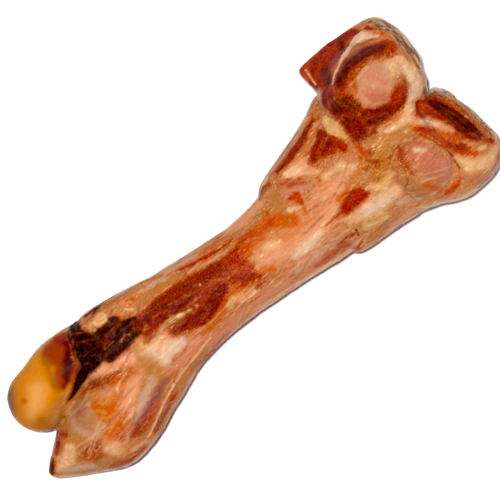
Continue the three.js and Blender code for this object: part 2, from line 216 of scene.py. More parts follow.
SHAFT_TOUCHES = [
    # Tan and pink fascia along the +Y edge.
    ("fascia", 3, 0, (-50, 16, 7), (-20, 13, 6), (20, 8, 8)),
    ("ochre", 0.8, 0.3, (-52, 23.6, 1.6), (-46, 22.6, 1.5), (-39, 21.6, 1), (-31, 20, 0.9), (-26, 18.4, 0.7)),
    ("tan", 1, 0.9, (-48.4, 17.6, 3.2), (-45, 16.6, 3.8)),
    ("orange", 1.2, 0.1, (-43, 18.8, 1.4), (-41, 18, 1.2)),
    # Painted highlight on the tan bump, in the cream-fat tint.
    ("fat_cream", 0.6, 0.2, (-46, 17.4, 0.4), (-44, 15.6, 0.7)),
    ("tan", 1, 0.1, (-38, 15.6, 2.2), (-30, 14.8, 1.6), (-20, 12.8, 1)),
    ("mauve_pale", 0.9, 0.2, (-33, 17.8, 0.9), (-28.6, 17, 1), (-26, 15.6, 0.8)),
    ("mauve_pale", 0.9, 0.1, (-24, 17.2, 0.9), (-15, 15.2, 1.1), (-10, 13.8, 0.9)),
    # Painted highlight on the pale fascia.
    ("mauve_pale", 0.7, 0.1, (-14.4, 15, 0.7), (-11.4, 14, 0.7)),
    ("lean_red", 0.6, -0.2, (-19, 14.4, 0.4), (-14, 12.8, 0.7), (-7, 10.8, 0.9), (-2, 9.8, 0.6), (5, 9, 0.5)),
    ("orange", 1.4, 0, (-6, 13, 1), (2, 12.4, 1)),
    ("tan", 1, 0, (3, 12.2, 1.8), (13, 10.8, 1.8), (19, 12, 1.4)),
    # The long dark field of lean, redder and paler towards the knee.
    ("lean_brown", 1, -0.3, (-44, 7.4, 4.2), (-35, 7.6, 4.8), (-25, 6, 5.4), (-15, 3.4, 5.8), (-5, 1, 6),
     (2, 0.6, 6)),
    ("lean_dark", 3, 0, (-40, 9, 2), (-30, 4.6, 2.6), (-24, 2.4, 2.4)),
    ("lean_brown", 1.6, 0, (-24, -1.6, 2.2), (-15, -1.6, 3), (-8, -2, 3)),
    ("lean_maroon", 1.4, -0.3, (-37, -2.2, 1.6), (-32, -3.4, 3), (-25, -5.8, 3.6), (-17.4, -6.4, 3.6),
     (-11, -3.6, 3.4)),
    ("lean_dark", 1.6, 0, (-37, -3, 0.9), (-30, -3.8, 1.2), (-23, -4.6, 1.2)),
    ("lean_red", 1.6, -0.1, (-4, -4.4, 3.6), (1, -6, 3.4), (3.6, -9, 1.4)),
    ("lean_maroon", 2, 0, (-2, -5.4, 1.6), (2, -6.6, 1.2)),
    ("lean_red", 2, -0.1, (2, 3, 5), (9, 3.4, 4), (13.4, 5, 2)),
    # Painted glow at the edge of the lean.
    ("glow", 2.4, 0, (8, 2, 4), (14, 3, 2.6)),
    ("plum", 1.2, 0.2, (-48.6, 1.4, 0.8), (-45, 2.6, 1.7), (-42, 1.6, 1)),
    ("lean_maroon", 1.2, 0, (-46, 4.6, 1), (-41, 5.4, 1.6), (-36, 4.6, 1.6)),
    ("tendon", 0.7, 0.4, (-41, 1, 0.5), (-37, 1.8, 1.1), (-31, 0.4, 0.9), (-26, -1, 0.4)),
    ("tendon", 0.6, 0.3, (-23.4, -1, 0.6)),
    ("fat_cream", 0.5, 0.2, (-16.6, 4.4, 0.5)),
    ("tan", 0.9, 0.1, (-21, 12.4, 0.5), (-14, 10, 0.6), (-7, 8.2, 0.7), (0, 7.3, 0.8), (6, 7.3, 0.6)),
    ("peach", 0.6, 0.1, (-17, 11, 0.1), (-8, 8.6, 0.2), (1, 7.4, 0.2)),
    # Fat and pink fascia along the -Y edge.
    ("fat_cream", 1.8, 0.3, (-57, -2, 3.2), (-50, -3.6, 3.8), (-44, -3, 3.6)),
    ("fat_white", 2, 0, (-55, -2.6, 2), (-49, -4, 2.6)),
    ("fat_white", 1.3, 0.3, (-49, -9.6, 2), (-44, -6.8, 3.4), (-38, -8, 2.2)),
    ("fat_yellow", 1.4, 0.1, (-57, 1.8, 1.6), (-51, 1.4, 1.4)),
    ("pink", 1.8, 0, (-54, -13, 2), (-45, -13.6, 2), (-36, -12.6, 2.2), (-29, -13, 1.6)),
    ("peach", 1.2, 0, (-36, -10.6, 1.2), (-31, -11.8, 1)),
    ("plum", 1.2, -0.1, (-60, -17.4, 1.2), (-54, -16, 1.2), (-47, -15.6, 0.8)),
    # A raised seam, its pale tone partly a painted highlight along its top.
    ("peach", 0.5, 0.5, (-54, -19.4, 0.4), (-46, -17.4, 0.5), (-38, -16, 0.5), (-28, -14.4, 0.5)),
    ("tan", 1, 0, (-56, -21, 1.4), (-44, -19, 1.4), (-32, -17, 1.2)),
    ("orange", 1.8, 0.1, (-29, -11.6, 0.8), (-22, -11, 1.2), (-14, -9, 1.6), (-9, -7.4, 1.4)),
    # Painted glow at the edge of the lean.
    ("glow", 2, 0, (-20, -10, 0.6), (-13, -8, 1), (-7, -6.4, 1)),
    ("fat_yellow", 1.2, 0.2, (-13, -9.8, 1.5), (-10, -9, 1.3)),
    ("peach", 1.4, 0.1, (-8, -10.8, 1.8), (-3, -12, 1.6)),
    ("peach", 0.5, 0.4, (-15, -13.6, 0.4), (-9, -12.4, 0.4), (0, -13.4, 0.4)),
    ("pink", 1.4, 0, (-30, -16.6, 1.6), (-15, -16.4, 1.8), (0, -16.8, 1.8), (12, -19, 1.8)),
    ("plum", 1.2, 0, (0, -11.6, 1), (4, -12, 1.2)),
    ("orange", 1.4, 0, (6, -7, 1.8), (10, -11, 1.4)),
]

FLARE_TOUCHES = [
    ("peach", 3, 0, (10, -4, 4), (20, -9, 5), (35, -8, 6), (48, -4, 6)),
    ("apricot", 3, 0, (12, 0, 2.4), (24, -5, 2.4), (38, -6, 2), (50, 0, 2)),
    ("peach", 2, 0, (6, 13, 2), (14, 12, 2.6), (24, 13, 2)),
    ("fat_cream", 1.4, 0, (6, 14.6, 0.8), (14, 14.4, 1), (22, 15, 0.8)),
    ("orange", 1.6, 0, (17, 6, 1.6), (21, 4.6, 2.8), (25, 2, 3), (29, -1.6, 2.4)),
    ("orange_deep", 1.2, -0.2, (19.4, 3.8, 1.1), (22, 4, 1)),
    ("ochre", 1, 0, (18.6, 9, 0.9), (24, 8.6, 1.5)),
    ("orange_deep", 1, 0, (23.4, 8.2, 1.1)),
    ("fat_cream", 1.6, 0.2, (14, -2.6, 1.8), (18, -4.4, 1.8)),
    ("tan", 1.4, 0, (28, 8, 2.4), (31, 11, 2), (29, 4, 1.6)),
    ("peach", 1.4, 0, (20, 15, 1.6), (27, 17, 1.4), (33, 18.6, 1)),
    ("rust", 0.8, 0.3, (25, 13.6, 0.8), (29, 15.8, 1.2), (32, 15.6, 0.8)),
    ("fat_cream", 0.8, 0.2, (31, 2.6, 1.1), (33, 1.6, 0.9)),
    ("orange_deep", 0.7, -0.4, (34, 6, 0.7), (36.6, 5, 1.9), (36.2, 1.8, 1.2)),
    ("spot_red", 0.8, 0, (37.2, 6, 0.5)),
    ("orange", 1, 0, (36, 0, 0.9), (35.4, -2.4, 0.8)),
    ("rose", 1.2, 0.1, (34.6, 13, 1), (38, 10, 1.1), (42, 7, 0.9)),
    ("pink", 1, 0.1, (33, 9.6, 0.9), (37.6, 7.6, 0.9), (43, 4, 0.9)),
    ("fat_cream", 0.9, 0.3, (40, 14, 1.6), (43, 12.8, 2.6), (46.6, 10.4, 2.2), (49, 7, 1.2)),
    ("fat_white", 1.6, 0, (42, 13, 0.5), (45, 11.6, 0.5)),
    ("rust", 0.5, -0.1, (38.4, 12.8, 0.2), (39.8, 10.4, 0.2), (43.4, 8.2, 0.2)),
    ("peach", 1.2, 0, (47.4, 13.4, 1.8), (48.6, 8, 1.2)),
    ("tan", 1, 0.1, (50, 16.4, 0.8), (57, 18.8, 0.8)),
    ("lean_brown", 0.7, 0.1, (37.4, 17.4, 0.8), (45, 18.2, 1.3), (52, 19.8, 1.7), (59, 22.4, 1.2),
     (66, 24.6, 0.9)),
    ("orange", 1.4, 0, (48, 3.6, 1), (54, 3.4, 1.2)),
    ("lean_cut", 0.9, 0.1, (51.6, 11, 1.8), (55, 12.4, 3.4), (60, 12, 4.8), (61, 17, 2), (64, 6.6, 1.8)),
    ("lean_maroon", 2, 0.1, (56, 11, 1), (61, 11.6, 1.8)),
    ("fat_yellow", 0.7, 0.4, (66.2, 20.4, 1.4), (66.2, 15, 2.8), (67.4, 9.4, 1.1)),
    ("fat_cream", 1.2, 0, (65.6, 17, 0.9), (66.4, 13, 0.9)),
    ("tan", 1, 0.1, (64, 24, 1), (68, 24.4, 1.2)),
    ("peach", 1.6, 0.1, (42, -3.4, 1.8), (50, -2.4, 1.6), (60, -1.6, 1.6)),
    ("fat_cream", 1.4, 0, (50, 3, 1.2), (58, 2, 1.4), (62, -2, 1)),
    ("pink", 1.2, 0, (38, -4, 1.2), (42, -2, 1)),
    ("peach", 0.6, 0.15, (36, -5, 0.2), (40, -1, 0.2), (46, 0.4, 0.2), (52, -0.8, 0.2), (60, -2, 0.2)),
    ("fat_white", 1.4, 0.3, (20, -13.2, 1.3), (27, -13, 2.2), (34, -12.6, 1.2)),
    ("pink", 1.6, 0, (14, -15.6, 1), (24, -17.2, 1.4), (36, -16, 1.4), (42, -17, 1)),
    ("pink", 1.8, 0, (16, -20.6, 1.2), (27, -21, 1.9), (36, -22, 1.6)),
    ("rose", 1.8, 0, (24, -22, 0.8), (32, -22.4, 1.4), (39, -23.6, 1.8)),
    ("mauve_pale", 1.4, 0, (16, -18.4, 0.8), (28, -18.6, 1), (38, -19.4, 0.8)),
    ("fat_cream", 0.6, 0.15, (36, -10.8, 0.1), (43, -10.4, 0.2), (49, -8.8, 0.2), (55, -8, 0.1)),
    ("fat_cream", 0.6, 0.15, (34, -13.6, 0.1), (41, -13.8, 0.2), (47, -15.6, 0.2), (54, -16, 0.1)),
    ("orange", 1.2, 0, (48, -8, 1), (54, -7, 1)),
    ("orange", 1.4, -0.2, (48.2, -12.2, 2.8), (52.6, -12, 3.8), (57, -12, 3)),
    ("spot_red", 1, -0.3, (48.4, -12.2, 2.2), (52.6, -12, 3.3), (57, -12, 2.7)),
    ("plum", 0.6, -0.1, (38, -12.1, 0.3), (45, -12.1, 0.8)),
    ("ochre", 2.4, 0, (60, -7, 2.6), (66, -5.6, 3), (66, -12, 3)),
    ("ochre_dark", 1.6, -0.2, (64, -6, 0.8), (69.6, -7.8, 2.2), (74, -8.6, 0.9)),
    ("neck_brown", 1.6, -0.2, (66, -1, 0.4), (69.6, -7, 1.2), (71, -12, 0.4)),
    ("fat_cream", 1.8, 0.3, (46, -17, 1.4), (51, -18.6, 3), (59, -19.6, 4), (68, -20.6, 3)),
    ("fat_white", 1.6, 0.1, (53, -18.6, 1.4), (60, -20, 2.2), (66, -21.4, 1.2)),
    ("fat_cream", 1.4, 0.1, (60, -12, 1), (66, -15.6, 1.4)),
    ("fat_yellow", 1.4, 0.2, (50, -24, 1.8), (58, -25.4, 1.6)),
    ("plum", 0.8, -0.3, (36, -21.4, 0.6), (40, -21.8, 0.9), (43.4, -22.4, 1)),
    ("neck_brown", 0.5, -0.5, (45.6, -21.8, 0.4), (45, -24.4, 0.3)),
    ("rose", 1, 0.5, (41.6, -27.2, 2.2)),
    # Painted highlight on the red bump.
    ("peach", 1, 0.1, (43.6, -25.4, 0.5)),
    ("spot_red", 1.2, 0, (42.2, -27.6, 0.5)),
    ("tan", 1, 0, (48, -28.2, 1.3), (56, -28.6, 1.3), (64, -29.6, 1.2)),
    ("mauve_pale", 1.4, 0, (66, -24.8, 1.4), (70, -27, 1.2)),
]

KNEE_TOUCHES = [
    # Lean round the inner knuckle, and its cut side.
    ("lean_cut", 1.2, 0, (76, 37, 7), (88, 38, 6), (97, 38, 4)),
    ("lean_dark", 2.4, -0.3, (74, 28, 2.8), (78, 32, 3), (80, 35.4, 2)),
    ("orange_deep", 2, 0, (72.4, 38, 1), (76, 42, 0.8)),
    ("lean_dark", 1.8, 0, (93, 39.6, 1.6), (90, 36.6, 1.4)),
    ("lean_maroon", 1.2, 0.5, (73, 25.6, 4.2), (75, 17, 5.2), (76, 9, 5.2), (75, 3.4, 2.6)),
    ("lean_dark", 2, 0, (74, 25, 2), (77.4, 19, 3.2), (77.6, 13, 3.4), (79, 8, 2.4)),
    ("lean_black", 2, 0, (76, 22, 1.2), (77, 15, 2)),
    ("lean_dark", 1.6, 0, (72.6, 21, 2.4), (75.6, 13, 2.2), (72.6, 5, 1.4)),
    ("lean_red", 1.4, 0.5, (79.6, 25.6, 3.2), (88, 29.6, 3.4), (97, 28.2, 3.6), (104.4, 24.8, 3)),
    ("lean_dark", 2, 0, (81, 27, 2.6), (88, 29.8, 2.8), (95, 29, 2.8), (102, 26, 2.2)),
    ("lean_maroon", 0.9, 0.5, (80, 9, 3.8), (86, 6.4, 3.8), (93, 6, 3), (97.6, 8, 1.4), (100, 10, 0.5)),
    ("lean_maroon", 1.2, 0.3, (73, 12, 3.6), (72.4, 6, 3.6), (71.6, 1.6, 2.4), (70.6, -2, 1)),
    ("lean_red", 1.4, 0, (92, 8, 2), (97, 9, 1.6)),
    ("lean_dark", 1.6, 0, (79, 7.6, 1.8), (84, 4.8, 1.2)),
    ("orange_deep", 1.6, -0.2, (84, 24, 1), (82.4, 18, 0.8), (82.6, 12.6, 0.6)),
    ("rust", 1.6, 0, (85, 24.6, 1.2), (90, 25.8, 1), (97, 24.8, 0.8)),
    # The bare bearing of the inner knuckle, and the cream fat that it opens into.
    ("cartilage", 1.4, -0.4, (88, 16, 6.6), (93, 18.4, 6.8)),
    ("cartilage_pink", 1.6, 0, (84.4, 16, 0.8), (85.6, 12, 1.4), (90, 9.6, 1)),
    ("fat_cream", 1.6, 0, (100, 17.6, 3.4), (103.4, 16.4, 2.8)),
    ("cartilage_pink", 2.4, 0, (86.4, 18, 1.6), (86.6, 13.6, 1.8), (90, 11.4, 1.4)),
    ("pink", 2, 0, (91.4, 20, 2.2), (93, 15.6, 1.4)),
    ("mauve_pale", 2, 0, (89.6, 17.6, 1)),
    ("fat_cream", 1, 0.3, (104, 17, 2.8), (105, 11, 3), (103.4, 5, 3.4), (97, 1.6, 2.4), (90, -1, 1.6)),
    ("fat_white", 1.6, 0, (103.6, 13, 1.8), (103.4, 7, 2), (98.6, 3, 1.4)),
    ("fat_white", 0.6, 0.6, (78, 28.4, 0.25), (82, 31.4, 0.3), (86, 32.8, 0.5), (90, 34, 1), (96, 35.4, 1.7),
     (101, 35, 2.4), (105, 32, 1.6)),
    # Painted highlight on the seam of fat.
    ("peach", 0.5, 0.3, (80.8, 30.3, 0.5), (83, 31.4, 0.6)),
    ("spot_red", 0.8, 0.1, (104, 36, 0.9), (105, 34.4, 0.5)),
    ("orange", 1, 0, (105, 32.4, 0.9), (107, 30, 0.8)),
    ("rust", 1, 0, (96, 37.4, 0.9), (92.4, 36.4, 0.7)),
    ("fat_cream", 0.5, 0.3, (74.2, 40.4, 0.35), (73.6, 37, 0.4), (73, 33.6, 0.3)),
    # Between the knuckles.
    ("tan", 1.6, 0, (72, 1, 2.4), (80, -3, 2.6), (88, -5, 2.4)),
    ("orange_deep", 1, 0, (68.6, 3.4, 1.2), (68, -1.4, 1.2)),
    ("fat_cream", 1.2, 0.2, (81, 0, 0.7), (86, -1.4, 1.2), (92, -1.4, 1.8), (96, -1, 1.4)),
    ("ochre", 1.4, 0, (72, -3.6, 2), (78, -5.4, 1.8), (72, -10, 2.6)),
    ("ochre_dark", 1, -0.2, (73, -10.4, 0.4), (77, -8, 0.4), (80, -7.4, 0.2)),
    ("fat_yellow", 1.6, 0.1, (67, -15, 2), (71, -13.4, 1.6)),
    ("tan", 1.6, 0, (73, -18, 2.4), (74, -25, 3), (76, -30, 2.4)),
    ("ochre_dark", 0.8, -0.2, (70.4, -23, 0.2), (73, -21.6, 0.3), (75, -19.8, 0.2)),
    # The bare dome of the outer knuckle.
    ("rust", 1.6, 0, (80.4, -9, 1.2), (77.4, -13.6, 1.4), (77.6, -19, 1.2)),
    ("cartilage_pink", 1.4, 0.1, (85, -15.4, 5), (85.6, -21, 6), (87, -28, 4.6)),
    # Painted highlight near the top of the dome, in the white-fat tint.
    ("fat_white", 1.6, 0.1, (84.6, -13.6, 0.9), (87.4, -16, 0.5)),
    ("pink", 2.4, 0, (89, -25, 2), (88, -30, 2)),
    ("rust", 0.5, -0.4, (90.4, -10.6, 0.4), (93, -17, 0.4), (94.4, -24, 0.5), (93.4, -31, 0.4)),
    ("orange", 1.6, 0, (78.6, -27.6, 1.8), (81.6, -31.6, 1.8)),
    ("orange_deep", 0.8, 0.1, (82.6, -35.4, 0.9), (87.4, -35.6, 1.3), (91, -34.2, 0.7)),
    # The fat rim, the hollow and the flap beyond it.
    ("fat_cream", 1.4, 0.2, (95.6, -27, 1.2), (97.4, -33, 2.8), (103.6, -36.8, 3.2), (109.6, -35, 1.8)),
    ("tan", 1.6, 0, (86, -39.6, 1.2), (93, -40.6, 1.2)),
    ("lean_red", 1.4, 0, (97, -1.4, 3.4), (96, -9, 4.6), (97, -17, 4.6), (100.4, -25, 3.4)),
    ("lean_maroon", 1.2, 0, (102.6, -3, 3), (104.6, -10, 3.6), (105.4, -18, 3.8), (106.6, -25, 2.8)),
    ("lean_dark", 1.4, -0.5, (103.4, -4, 2), (105, -11, 3), (106.8, -20, 2.8), (109, -27, 1.4)),
    ("lean_black", 1.6, -0.2, (105.4, -12, 1), (107.6, -21, 1)),
    ("orange_deep", 1.4, 0, (90.6, -6.4, 1), (93, -10.4, 2.4)),
    ("spot_red", 1.4, 0, (92.4, -8.6, 1), (94, -12, 1)),
    ("orange", 1.2, 0, (94.6, -14.4, 1.6), (97, -17, 2.8), (99.6, -22, 1.6)),
    ("orange_light", 1.4, 0, (96, -15, 1), (97.4, -17.6, 1)),
    ("orange_deep", 1.2, 0, (97.4, -0.6, 2), (99.6, -3.4, 2)),
    ("spot_red", 1.2, 0, (99.6, -5, 1.6), (101.4, -11, 1.2)),
    ("orange_deep", 1, 0, (94, -14, 1), (95, -19, 1.2)),
    ("orange", 0.8, 0, (94.6, -8, 0.8)),
    ("peach", 1.4, 0.4, (92.2, -4.6, 1), (96.2, -8.8, 2.2), (98.8, -12.6, 1.7), (101, -17.6, 0.8)),
    ("fat_white", 1, 0.2, (94, -6.4, 0.4), (97, -9.6, 0.9), (98.6, -12, 0.6)),
    ("fat_white", 0.6, 0.2, (96, -8, 0.5), (97.8, -11, 0.5)),
    ("tan", 0.8, 0.3, (101.6, -24, 0.9), (103.6, -27, 1.1), (106, -30, 1)),
    ("fat_cream", 0.6, 0.3, (104.6, -30.6, 0.8), (107, -31.4, 0.9)),
    ("orange_deep", 0.7, 0, (100, -28.6, 0.9), (102.4, -31, 0.9)),
    ("spot_red", 0.9, 0, (109, -29.6, 0.9), (110.4, -31.2, 0.9)),
    ("rust", 1, 0.3, (107, -3, 1.3), (110, -12, 1.5), (111.6, -20, 1.4), (112, -27, 0.8)),
    ("tan", 0.7, 0.3, (106.4, -2, 0.4), (109.8, -9, 0.8), (111.4, -17, 0.8), (112.2, -25, 0.5)),
    ("ochre_dark", 0.8, 0, (109.6, -4, 0.9), (111, -6.6, 0.7)),
    ("mauve_pale", 1, 0, (112.4, -12, 0.6), (113.6, -20, 0.7), (113.8, -26, 0.6)),
    ("fat_cream", 2.4, 0.2, (72, -33, 2), (82, -38.6, 2), (92, -41.6, 2)),
    ("peach", 2, 0, (58, -30.6, 1.6), (68, -31.4, 2)),
    # Dried membranes over the knee end.
    ("mauve", 1.2, 0, (110, 33, 1), (112, 25, 1.6), (111.4, 17, 1.8)),
    ("ochre_dark", 0.7, 0, (110.6, 27, 0.6), (109.6, 22, 0.6), (111, 14, 0.5)),
    ("fat_cream", 0.6, 0.2, (108.4, 37, 0.7), (109.4, 30, 0.5), (108.6, 24, 0.5)),
]


# Meat that fills the frame's hollow part of the way: middle and radii in millimetres.
LUMPS = [
    ((93, -15, 31), (14, 19, 14.6)),
    ((102, -17, 27), (8, 18, 12)),
    ((103, -28, 34), (8, 8, 11)),
]

# Where the frame's edges melt into each other: round the hollow, and beside the inner knuckle. Paths as above.
MELT_PASSES = 140
MELTS = [
    [(93, 0, 4.4), (94, -6, 6.4), (95, -14, 7.4), (98, -22, 7), (101, -30, 6), (108, -32, 5)],
    [(75, 29.6, 3.4), (79, 33, 4), (88, 33, 4), (97, 31, 3.8)],
]


# Settings.


def metres(name, description, default):
    """A setting in metres."""
    return FloatProperty(name=name, description=description, default=default, unit="LENGTH", precision=5)


class HamBoneSizes(bpy.types.PropertyGroup):
    """Sizes that shape the skin and its surroundings."""

    skin_cell: metres("Skin cell", "Side of one face of the skin", 0.54 * MM)
    blend_passes: IntProperty(
        name="Blend passes", description="How often the frame's creases are smoothed", default=23
    )
    skin_triangles: IntProperty(
        name="Skin triangles", description="Most triangles that the skin may have", default=186000
    )
    swell: metres("Swell", "Height of the slow lumps of drying", 0.5 * MM)
    wrinkle: metres("Wrinkle", "Height of the fine wrinkles of drying", 0.3 * MM)
    ragged: metres("Ragged", "How far the edges of the tissues stray", 0.9 * MM)
    camera_height: metres("Camera height", "Camera above the table", 1.8)
    view_width: metres("View width", "Width of the table that the camera takes in", 204.6 * MM)
    view_turn: FloatProperty(
        name="View turn",
        description="How far the camera is turned about the vertical",
        default=math.radians(-42),
        unit="ROTATION",
    )


def tint_property(name):
    """A setting for one tint."""
    words = name.replace("_", " ")
    return FloatVectorProperty(
        name=words.capitalize(),
        description=f"Colour of the {words} tissue",
        default=linear(TINTS[name][0]),
        subtype="COLOR",
        min=0,
        max=1,
    )


class HamBoneTints(bpy.types.PropertyGroup):
    """Colours of the tissues."""

    __annotations__ = {name: tint_property(name) for name in TINTS}


# Mesh helpers.

MIDDLE_HEIGHT = 22 * MM  # of the skin's nearest point, where nothing lies below x, y
SQUEEZE = np.array([1.0, 1.0, 0.55])  # makes a brush reach deeper than it is wide
HASHES = (73856093, 19349663, 83492791, 40503, 1274126177)  # odd factors that scatter the noise's cells
SEED_STEP = 37.7  # cells from one seed's noise to the next


def pick_only(piece):
    """Leaves one piece selected and active."""
    bpy.ops.object.select_all(action="DESELECT")
    piece.select_set(True)
    bpy.context.view_layer.objects.active = piece


def copy_of_node(node, name):
    """A free copy of a CAD node, its loose triangles merged into one closed skin."""
    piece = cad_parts[node].copy()
    piece.data = piece.data.copy()
    piece.parent = None
    piece.name = name
    piece.data.name = name
    for key in list(piece.keys()):
        del piece[key]
    piece.data.materials.clear()
    bpy.context.scene.collection.objects.link(piece)
    pick_only(piece)
    bpy.ops.object.mode_set(mode="EDIT")
    bpy.ops.mesh.select_all(action="SELECT")
    bpy.ops.mesh.remove_doubles(threshold=0.01 * MM)
    bpy.ops.object.mode_set(mode="OBJECT")
    return piece


def add_lump(piece, middle, radii):
    """Joins a ball, drawn out to radii, to a piece that is to be remeshed."""
    bpy.ops.object.select_all(action="DESELECT")
    bpy.ops.mesh.primitive_uv_sphere_add(segments=48, ring_count=24, radius=1)
    lump = bpy.context.active_object
    lump.scale = [r * UNIT for r in radii]
    lump.location = [m * UNIT for m in middle]
    bpy.ops.object.transform_apply(location=True, rotation=True, scale=True)
    lump.select_set(True)
    piece.select_set(True)
    bpy.context.view_layer.objects.active = piece
    bpy.ops.object.join()


def apply_modifier(piece, kind, **settings):
    """Adds a modifier to a piece and applies it."""
    pick_only(piece)
    modifier = piece.modifiers.new(kind.lower(), kind)
    for name, value in settings.items():
        setattr(modifier, name, value)
    bpy.ops.object.modifier_apply(modifier=modifier.name)


def points_of(mesh):
    """A mesh's vertices and their normals, as arrays."""
    points = np.empty(3 * len(mesh.vertices), np.float32)
    normals = np.empty(3 * len(mesh.vertices), np.float32)
    mesh.vertices.foreach_get("co", points)
    mesh.vertex_normals.foreach_get("vector", normals)
    return points.reshape(-1, 3).astype(float), normals.reshape(-1, 3).astype(float)


def melt(piece, tree, path):
    """Smooths the skin strongly along a path, so that its edges run into each other."""
    points, _ = points_of(piece.data)
    group = piece.vertex_groups.new(name="melt")
    weights = smooth_step(-2 * MM, 2 * MM, depth_inside(points, tree, path))
    for number in np.nonzero(weights > 0.01)[0]:
        group.add([int(number)], float(weights[number]), "REPLACE")
    apply_modifier(piece, "SMOOTH", factor=0.5, iterations=MELT_PASSES, vertex_group="melt")
    piece.vertex_groups.clear()


def coarsen_below(piece, triangles):
    """Merges faces of the sides and the underside until the piece has so many triangles."""
    _, normals = points_of(piece.data)
    group = piece.vertex_groups.new(name="below")
    group.add(np.nonzero(normals[:, 2] < 0.2)[0].tolist(), 1.0, "REPLACE")
    ratio = triangles / (2 * len(piece.data.polygons))
    apply_modifier(piece, "DECIMATE", ratio=ratio, vertex_group="below")
    piece.vertex_groups.clear()


def search_tree(mesh):
    """A mesh as a tree that rays can be cast at."""
    return BVHTree.FromPolygons([v.co.copy() for v in mesh.vertices], [tuple(p.vertices) for p in mesh.polygons])


def move_points(mesh, points):
    """Moves a mesh's vertices to points."""
    mesh.vertices.foreach_set("co", points.astype(np.float32).ravel())
    mesh.update()


def smooth_step(low, high, value):
    """Rises softly from 0 at low to 1 at high."""
    share = np.clip((value - low) / (high - low), 0, 1)
    return share * share * (3 - 2 * share)


def noise(points, size, seed, stretch=(1, 1, 1)):
    """Smooth lumps from -1 to 1, about as far apart as size, drawn out along each axis by stretch."""
    spots = points / (size * np.array(stretch)) + SEED_STEP * seed
    cell = np.floor(spots).astype(np.int64)
    share = spots - cell
    share = share * share * share * (share * (share * 6 - 15) + 10)
    total = np.zeros(len(points))
    for corner in itertools.product((0, 1), repeat=3):
        at = cell + corner
        mixed = at[:, 0] * HASHES[0] ^ at[:, 1] * HASHES[1] ^ at[:, 2] * HASHES[2] ^ (seed + 1) * HASHES[3]
        mixed = (mixed ^ (mixed >> 13)) * HASHES[4] & 0x7FFFFFFF
        mixed = (mixed ^ (mixed >> 15)) & 0xFFFF
        weight = np.prod(np.where(corner, share, 1 - share), axis=1)
        total += weight * (mixed / 32767.5 - 1)
    return total


def fractal(points, size, seed, octaves=3, stretch=(1, 1, 1)):
    """Noise with finer noise laid over it."""
    total = sum(noise(points, size / 2**i, seed + i, stretch) / 2**i for i in range(octaves))
    return total / (2 - 2 ** (1 - octaves))


def on_skin(tree, x, y):
    """The point of the skin that is seen from above at x, y, or the nearest one where the view passes it by."""
    hit = tree.ray_cast(Vector((x * UNIT, y * UNIT, 1)), Vector((0, 0, -1)))[0]
    if hit is None:
        hit = tree.find_nearest(Vector((x * UNIT, y * UNIT, MIDDLE_HEIGHT)))[0]
    return np.array(hit)


def depth_inside(points, tree, path):
    """How far, in metres, each point is inside a brush drawn along a path, which reaches deeper downwards."""
    stations = [(on_skin(tree, x, y) * SQUEEZE, radius * UNIT) for x, y, radius in path]
    spots = points * SQUEEZE
    best = np.full(len(points), -np.inf)
    ends = stations if len(stations) > 1 else stations * 2
    for (start, start_radius), (end, end_radius) in zip(ends, ends[1:]):
        line = end - start
        share = np.clip((spots - start) @ line / max(line @ line, 1e-12), 0, 1)
        distance = np.linalg.norm(spots - start - share[:, None] * line, axis=1)
        best = np.maximum(best, start_radius + share * (end_radius - start_radius) - distance)
    return best


class Skin:
    """The skin's points, with the colour, the kinds of tissue and the lift that touches give them."""

    def __init__(self, mesh, sizes, tints):
        self.points, self.normals = points_of(mesh)
        self.tree = search_tree(mesh)
        self.tints = tints
        self.ragged = sizes.ragged
        count = len(self.points)
        self.colour = np.tile(np.array(tints.fascia), (count, 1))
        self.kinds = {kind: np.zeros(count) for kind in KINDS}
        self.lift = np.zeros(count)
        self.strays = [
            0.6 * fractal(self.points, 4 * MM, 10 + i, 2, (1.6, 1, 1))
            + 0.4 * noise(self.points, 1.3 * MM, 20 + i)
            for i in range(3)
        ]
        self.touched = 0

    def lay(self, tint, share, lift=0.0):
        """Covers a share of each point with a tissue."""
        self.colour += share[:, None] * (np.array(getattr(self.tints, tint)) - self.colour)
        for kind, amount in self.kinds.items():
            amount += share * ((kind in TINTS[tint][1]) - amount)
        self.lift += share * (lift * MM)

    def touch(self, tint, edge, lift, path, share=1.0):
        """Lays a tissue along a path, with a ragged edge."""
        inside = depth_inside(self.points, self.tree, path)
        stray = self.strays[self.touched % len(self.strays)]
        self.touched += 1
        inside += stray * self.ragged * min(1, edge)
        if "lean" in TINTS[tint][1]:  # painted glow: the clear edge of lean is painted orange-red, where light would shine through it
            self.lay("glow", 0.6 * smooth_step(-2.6 * MM, 0.6 * MM, inside))
        self.lay(tint, share * smooth_step(-edge * MM, edge * MM, inside), lift)


